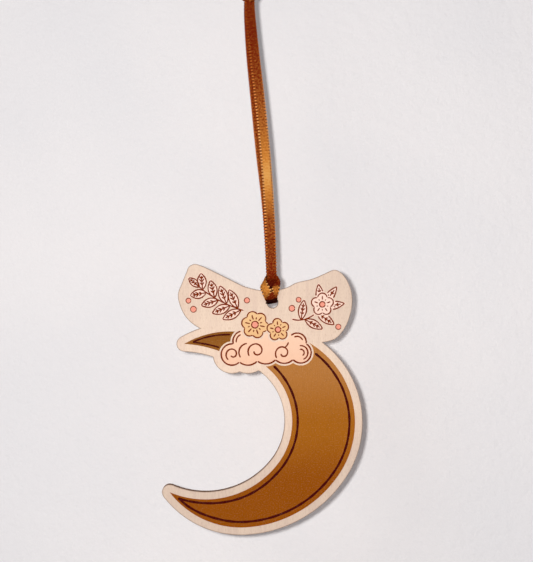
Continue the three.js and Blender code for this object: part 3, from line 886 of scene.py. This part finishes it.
# Cloud and blossoms, as the solids have them
cloud = {
    "puffs": [(-13.2, -16.9, 3.7), (-8.0, -16.2, 4.4), (-2.2, -15.6, 4.6), (3.8, -15.8, 4.2),
              (9.2, -16.3, 3.6), (8.0, -12.9, 3.2), (2.6, -12.4, 4.0), (-3.8, -12.1, 4.2),
              (-9.5, -12.6, 3.6)],
    "halo": 0.6, "inset": 0.24, "clear": 0.5,
    "scrolls": [  # centre, radius, start and sweep in degrees
        (-13.0, -16.8, 2.3, 235, -380), (-5.2, -15.7, 2.9, 215, -390), (3.4, -16.4, 2.6, 220, -380)],
    "arcs": [(-8.0, -16.2, 2.9, 95, 215), (9.2, -16.3, 2.3, -70, 100), (9.2, -16.3, 1.1, -60, 110),
             (8.0, -12.9, 1.9, 20, 120), (-9.5, -12.6, 2.3, 75, 190), (2.6, -12.4, 2.6, 300, 350)],
}
blossoms = {
    "left": {"centre": (-5.7, -7.2), "petals": 6, "reach": 2.6, "petalRadius": 2.0, "turn": -12},
    "right": {"centre": (1.8, -8.8), "petals": 5, "reach": 2.15, "petalRadius": 1.7, "turn": 168},
    "spray": {"centre": (16.2, -0.6), "petals": 5, "reach": 2.15, "petalRadius": 1.75, "turn": 18},
}
eyeShare = 0.42  # radius of a blossom's middle, of its petals' reach


def petalTurns(blossom):
    return blossom["turn"] + 360 / blossom["petals"] * np.arange(blossom["petals"])


# The petals' discs and one for the middle, as (u, v, radius)
def petalDiscs(blossom, grow=0.0):
    middles = np.array(blossom["centre"]) + blossom["reach"] * direction(petalTurns(blossom))
    ring = [(u, v, blossom["petalRadius"] + grow) for u, v in middles]
    return ring + [(*blossom["centre"], blossom["reach"] + grow)]


blossomHalo = petalDiscs(blossoms["left"], cloud["halo"]) + petalDiscs(blossoms["right"], cloud["halo"])


# r = radius (1 - 0.72 t), turning by sweep
def scroll(u, v, radius, start, sweep):
    t = np.linspace(0, 1, 60)
    return np.array([u, v]) + (radius * (1 - 0.72 * t))[:, None] * direction(start + sweep * t)


# Each puff's outline where no other puff covers it, then the scrolls and arcs inside
def cloudLines():
    lines = []
    puffs, inset = cloud["puffs"], cloud["inset"]
    middle = np.mean([puff[:2] for puff in puffs], 0)
    for index, (u, v, radius) in enumerate(puffs):
        others = grown(puffs[:index] + puffs[index + 1:], -inset)
        start = bearing(np.array([u, v]), middle)
        around = arcLine((u, v), radius - inset, start, start + 360)
        lines += openRuns(around, others + grown(blossomHalo, inset))
    inner = grown(blossomHalo, cloud["clear"])
    for part in cloud["scrolls"]:
        lines += openRuns(scroll(*part), inner)
    for u, v, radius, start, end in cloud["arcs"]:
        lines += openRuns(arcLine((u, v), radius, start, end), inner)
    return lines


# Petal outlines with their short veins, the ring in the middle, and the stamens' dots
def blossomLines(blossom, others=()):
    inset, centre = cloud["inset"], np.array(blossom["centre"])
    discs = petalDiscs(blossom, -inset)
    lines = []
    for index, (u, v, radius) in enumerate(discs[:-1]):
        start = bearing(np.array([u, v]), centre)
        around = arcLine((u, v), radius, start, start + 360)
        lines += openRuns(around, discs[:index] + discs[index + 1:] + list(others), 0.4)
    eye = blossom["reach"] * eyeShare
    lines.append(arcLine(centre, eye, 0, 360))
    for turn in petalTurns(blossom):
        reaches = np.linspace(eye + 0.55, blossom["reach"] + blossom["petalRadius"] * 0.35, 8)[:, None]
        lines.append(centre + reaches * direction(turn))
        seam = turn + 180 / blossom["petals"]
        lines.append(centre + np.linspace(eye + 0.6, blossom["reach"] * 0.95, 6)[:, None] * direction(seam))
    return lines


# Leafy branch and flower spray
branch = {"guides": [(-9.4, -2.6), (-13.8, -1.2), (-19.2, 1.0), (-24.2, 5.4)], "first": 0.06, "last": 0.82,
          "stagger": 0.08, "tip": 0.97, "pairs": 4, "spread": 46, "firstLength": 7.2, "lastLength": 5.8,
          "leafWidth": 3.3, "tipLength": 5.0, "tipWidth": 2.6}
spray = {"guides": [(6.4, -5.4), (9.4, -6.4), (13.2, -5.2), (16.2, -1.2)], "leafWidth": 3.0,
         "leaves": [(0.3, 75, 7.0), (0.42, -44, 7.0), (0.8, -76, 7.4), (0.97, -42, 8.0), (0.97, 2, 8.8),
                    (0.97, 46, 8.0)]}
leaf = {"belly": 0.45, "inset": 0.22, "veins": 3, "veinTurn": 36}
berries = [(-25.7, -2.2, 0.95), (-27.3, 0.6, 0.8), (-8.3, 0.7, 0.85), (6.3, -1.9, 0.95), (8.5, 0.9, 0.8),
           (21.4, -7.9, 0.85)]


# (1 - t)^3 a + 3t(1 - t)^2 b + 3t^2(1 - t) c + t^3 d, and its direction in degrees
def stemPoint(guides, t):
    a, b, c, d = np.array(guides, float)
    point = (1 - t) ** 3 * a + 3 * t * (1 - t) ** 2 * b + 3 * t**2 * (1 - t) * c + t**3 * d
    ahead = (1 - t) ** 2 * (b - a) + 2 * t * (1 - t) * (c - b) + t**2 * (d - c)
    return point, math.degrees(math.atan2(ahead[1], ahead[0]))


# Each side is (1 - t)^2 base + 2t(1 - t)(middle +- width) + t^2 tip, drawn just inside the printed leaf
def leafLines(base, turn, length, width):
    tip, inset = base + direction(turn) * (length - leaf["inset"] * 2), leaf["inset"]
    middle = base + direction(turn) * length * leaf["belly"]
    bulge = direction(turn + 90) * (width - 2 * inset)
    t = np.linspace(0, 1, 24)[:, None]
    sides = [(1 - t) ** 2 * base + 2 * t * (1 - t) * (middle + sign * bulge) + t**2 * tip
             for sign in (1, -1)]
    rib = base + direction(turn) * np.linspace(0.3, length * 0.8, 12)[:, None]
    lines = [*sides, rib]
    for share in np.linspace(0.26, 0.6, leaf["veins"]):
        foot = base + direction(turn) * length * share
        reach = width * 0.42 * (1 - abs(share - 0.42))
        for sign in (1, -1):
            vein = direction(turn + sign * leaf["veinTurn"])
            lines.append(foot + vein * np.linspace(0.1, reach, 6)[:, None])
    return lines


# Leaves in pairs up the stem, each pair a little apart, and one at the tip
def branchLines():
    leaves = [(branch["tip"], 0, branch["tipLength"], branch["tipWidth"])]
    for share in np.linspace(0, 1, branch["pairs"]):
        at = branch["first"] + (branch["last"] - branch["first"]) * share
        length = branch["firstLength"] + (branch["lastLength"] - branch["firstLength"]) * share
        leaves.append((at, branch["spread"], length, branch["leafWidth"]))
        leaves.append((at + branch["stagger"], -branch["spread"], length, branch["leafWidth"]))
    return sprigLines(branch["guides"], leaves, [])


# A stem and its leaves (share of the stem, turn, length, width), hidden inside some discs
def sprigLines(guides, leaves, discs):
    stem = np.array([stemPoint(guides, t)[0] for t in np.linspace(0, 1, 24)])
    lines = openRuns(evenly(stem, 0.2), discs)
    for at, turn, length, width in leaves:
        base, ahead = stemPoint(guides, at)
        for line in leafLines(base, ahead + turn, length, width):
            lines += openRuns(evenly(line, 0.1), discs, 0.4)
    return lines


# The spray's stem and leaves, hidden under its blossom, and the blossom's own lines
def sprayLines():
    leaves = [(at, turn, length, spray["leafWidth"]) for at, turn, length in spray["leaves"]]
    discs = petalDiscs(blossoms["spray"], -cloud["inset"] + lineArt["width"])
    return sprigLines(spray["guides"], leaves, discs) + blossomLines(blossoms["spray"])


# The crescent's two inner lines: the outline's own arcs, inset, that run together before the lower tip
crescent = {"shoulderBearing": 60, "outerShoulder": (11.8, -13.0), "outerRadius": 30.0, "outerTurn": -33.3,
            "flankRadius": 39.2, "flankTurn": -86.8, "heelRadius": 29.0, "innerShoulder": (-5.0, -18.85),
            "innerRadius": 22.8, "innerTurn": -38.4, "bellyRadius": 29.7, "start": 80,
            "lineInset": 1.8, "tipInset": 0.97, "lineWidth": 0.76, "gap": 0.35}
horn = {"tip": (-28.7, -13.45), "topRadius": 29.3, "topBearing": 120.5, "bottomRadius": 38.8,
        "bottomBearing": 87.05, "lineInset": 1.15, "tipInset": 0.8, "lineWidth": 0.54, "gap": 0.3,
        "end": 60}


# An arc, centre + reach (cos(a), sin(a)), whose reach goes over to another radius towards its end
def taperedArc(centre, radius, lastRadius, start, end):
    t = np.linspace(0, 1, 90)
    reach = radius + (lastRadius - radius) * ease(t, 0.3, 1.0)
    return np.asarray(centre) + reach[:, None] * direction(start + (end - start) * t)


def moonLines():
    outerRadius, flankRadius, heelRadius, innerRadius, bellyRadius = (
        crescent[name + "Radius"] for name in ("outer", "flank", "heel", "inner", "belly"))
    outerTurn, flankTurn, innerTurn = (crescent[name + "Turn"] for name in ("outer", "flank", "inner"))
    shoulder, start = direction(crescent["shoulderBearing"]), crescent["start"]
    outer = np.array(crescent["outerShoulder"]) - shoulder * outerRadius
    inner = np.array(crescent["innerShoulder"]) - shoulder * innerRadius
    flank = outer + direction(outerTurn) * (outerRadius - flankRadius)
    heel = flank + direction(flankTurn) * (flankRadius - heelRadius)
    belly = inner + direction(innerTurn) * (innerRadius - bellyRadius)
    inset, last = crescent["lineInset"], crescent["tipInset"]
    tip = meet(heel, heelRadius - last, belly, bellyRadius + last, 1)
    heelEnd, bellyEnd = bearing(heel, tip) - 360, bearing(belly, tip) - 360
    outside = np.concatenate([
        arcLine(outer, outerRadius - inset, start, outerTurn),
        arcLine(flank, flankRadius - inset, outerTurn, flankTurn)[1:],
        taperedArc(heel, heelRadius - inset, heelRadius - last, flankTurn, heelEnd)[1:]])
    inside = np.concatenate([
        arcLine(inner, innerRadius + inset, start, innerTurn),
        taperedArc(belly, bellyRadius + inset, bellyRadius + last, innerTurn, bellyEnd)[1:]])
    halo = grown(cloud["puffs"], cloud["halo"] + crescent["gap"])
    return openRuns(outside, halo, 20) + openRuns(inside, halo, 20), tip


# The horn's two inner lines, in from its own arcs, which meet before its tip
def hornLines():
    tip, inset, last = np.array(horn["tip"]), horn["lineInset"], horn["tipInset"]
    top = tip - direction(horn["topBearing"]) * horn["topRadius"]
    bottom = tip - direction(horn["bottomBearing"]) * horn["bottomRadius"]
    start = meet(top, horn["topRadius"] - last, bottom, horn["bottomRadius"] + last, -1)
    halo = grown(cloud["puffs"], cloud["halo"] + horn["gap"])
    lines = []
    for centre, radius, side in ((top, horn["topRadius"], -1), (bottom, horn["bottomRadius"], 1)):
        ends = horn["end"], bearing(centre, start)
        lines += openRuns(taperedArc(centre, radius + side * inset, radius + side * last, *ends), halo, 3)
    return lines


rustLine = lineFinish("rustLineInk", lineArt["rust"])
darkLine = lineFinish("darkLineInk", lineArt["dark"])
pinkDot = lineFinish("pinkDotInk", lineArt["pink"])


def makeLines(name, lines, material, width=None, extra=()):
    strokes = [stroke(line, width) for line in lines] + list(extra)
    makePiece(name, strokes, material, "board", crease=60)


def makeLineArt():
    moonStrokes, tip = moonLines()
    makeLines("moonLines", moonStrokes, darkLine, crescent["lineWidth"], [dot(tip, 0.46)])
    makeLines("hornLines", hornLines(), darkLine, horn["lineWidth"])
    makeLines("cloudLines", cloudLines(), rustLine)
    rightDiscs = petalDiscs(blossoms["right"], 0.1)
    pair = blossomLines(blossoms["left"], rightDiscs) + blossomLines(blossoms["right"])
    fine = lineArt["fineWidth"]
    makeLines("blossomLines", pair, rustLine, fine)
    makeLines("branchLines", branchLines(), rustLine, fine)
    makeLines("sprayLines", sprayLines(), rustLine, fine)
    eyes = [dot(blossom["centre"], blossom["reach"] * eyeShare - 0.12) for blossom in blossoms.values()]
    spots = [dot((u, v), radius) for u, v, radius in berries]
    makePiece("pinkDots", eyes + spots, pinkDot, "board", crease=60)
    rounds = [arcLine((u, v), radius, 0, 360) for u, v, radius in berries]
    makeLines("berryLines", rounds, rustLine, lineArt["berryWidth"])


makeLineArt()
print("line art")


# Stage: a pale paper wall behind the board, seen from its front only, a floor, and soft light
stage = {"wallBehind": 45.0, "wallSize": 2.0, "floor": -0.65, "floorGlow": 0.62,
         "paper": (241, 237, 236), "mottle": (236, 233, 233), "floorPale": (238, 235, 233),
         "worldLevel": 0.27, "worldTint": (0.95, 0.94, 1.0, 1.0),
         "nearLevel": 0.765, "nearShift": (-20.0, 8.0), "nearSize": 0.015,
         "keyLevel": 0.11, "keyFrom": (-520.0, -620.0, 420.0), "keySize": 0.5}


def stagePlane(name, corners, material):
    mesh = bpy.data.meshes.new(name)
    mesh.from_pydata(corners, [], [(0, 1, 2, 3)])
    mesh.materials.append(material)
    addObject(name, mesh)


# Colour = paper to mottle by a slow noise, a bump of two finer ones, and clear from behind
def paperFinish():
    look = Finish("wallPaper")
    spot = look.node("ShaderNodeTexCoord", {}, {}, "Object")
    coarse = look.noise(spot, 300.0, 3.0, 0.55)
    fine = look.noise(spot, 900.0, 2.0)
    cloudy = look.noise(spot, 14.0, 2.0)
    tint = look.mix(cloudy.rise(0.35, 0.7), stage["paper"], stage["mottle"])
    look.surface(Base_Color=tint, Roughness=1.0, Specular_IOR_Level=0.0,
                 Normal=look.bump(coarse + fine * 0.35, 0.0009, 0.55))
    clear = look.node("ShaderNodeBsdfTransparent", {}, {})
    behind = look.node("ShaderNodeNewGeometry", {}, {}, "Backfacing")
    shown = Signal(look, look.shader.outputs[0])
    mixed = look.node("ShaderNodeMixShader", {}, {0: behind, 1: shown, 2: clear})
    look.feed(look.tree.nodes["Material Output"], {"Surface": mixed})
    return look.material


# The floor keeps the object's shadow, and glows a little for the camera alone so that it stays pale
def floorFinish():
    look = Finish("paleFloor")
    seen = look.node("ShaderNodeLightPath", {}, {}, "Is Camera Ray")
    glow = look.mix(seen * stage["floorGlow"], (0, 0, 0), stage["floorPale"])
    return look.surface(Base_Color=stage["floorPale"], Roughness=1.0, Specular_IOR_Level=0.0,
                        Emission_Color=glow, Emission_Strength=1.0)


def makeStage():
    back, half, low = stage["wallBehind"] * mm, stage["wallSize"] / 2, stage["floor"]
    top = low + stage["wallSize"]
    wallCorners = [(-half, back, low), (half, back, low), (half, back, top), (-half, back, top)]
    floorCorners = [(-half, -half, low), (half, -half, low), (half, half, low), (-half, half, low)]
    stagePlane("wall", wallCorners, paperFinish())
    stagePlane("floor", floorCorners, floorFinish())


# A lamp whose light, on a surface that faces it, counts as level: power = pi^2 distance^2 level
def makeLamp(name, spot, target, size, level):
    data = bpy.data.lights.new(name, "AREA")
    data.shape, data.size = "DISK", size
    ahead = Vector(target) - Vector(spot)
    data.energy = math.pi**2 * ahead.length**2 * level
    lamp = addObject(name, data)
    lamp.matrix_world = Matrix.Translation(spot) @ ahead.to_track_quat("-Z", "Y").to_matrix().to_4x4()


# The world lights with a plain level, and shows the paper's colour to the camera and in reflections
def makeWorld():
    world = bpy.data.worlds.new("paleRoom")
    bpy.context.scene.world = world
    world.use_nodes = True
    look = Finish("paleRoom", world.node_tree)
    rays = ("Is Camera Ray", "Is Glossy Ray", "Is Transmission Ray")
    seen = [look.node("ShaderNodeLightPath", {}, {}, ray) for ray in rays]
    shown = seen[0].math("MAXIMUM", seen[1].math("MAXIMUM", seen[2]))
    lights = {"Color": stage["worldTint"], "Strength": stage["worldLevel"]}
    lit = look.node("ShaderNodeBackground", {}, lights)
    pale = look.node("ShaderNodeBackground", {}, {"Color": stage["paper"], "Strength": 1.0})
    mixed = look.node("ShaderNodeMixShader", {}, {0: shown, 1: lit, 2: pale})
    look.feed(look.tree.nodes["World Output"], {"Surface": mixed})


makeStage()
makeWorld()
aimU, aimV = camera["aim"]
shiftU, shiftV = stage["nearShift"]
aimSpot = place((aimU, 0, aimV))
nearSpot = place((aimU + shiftU, boardFront - camera["distance"], aimV + shiftV))
makeLamp("nearLamp", nearSpot, aimSpot, stage["nearSize"], stage["nearLevel"])
makeLamp("keyLamp", place(stage["keyFrom"]), aimSpot, stage["keySize"], stage["keyLevel"])
bpy.context.scene.view_settings.view_transform = "Standard"
print("stage and light")
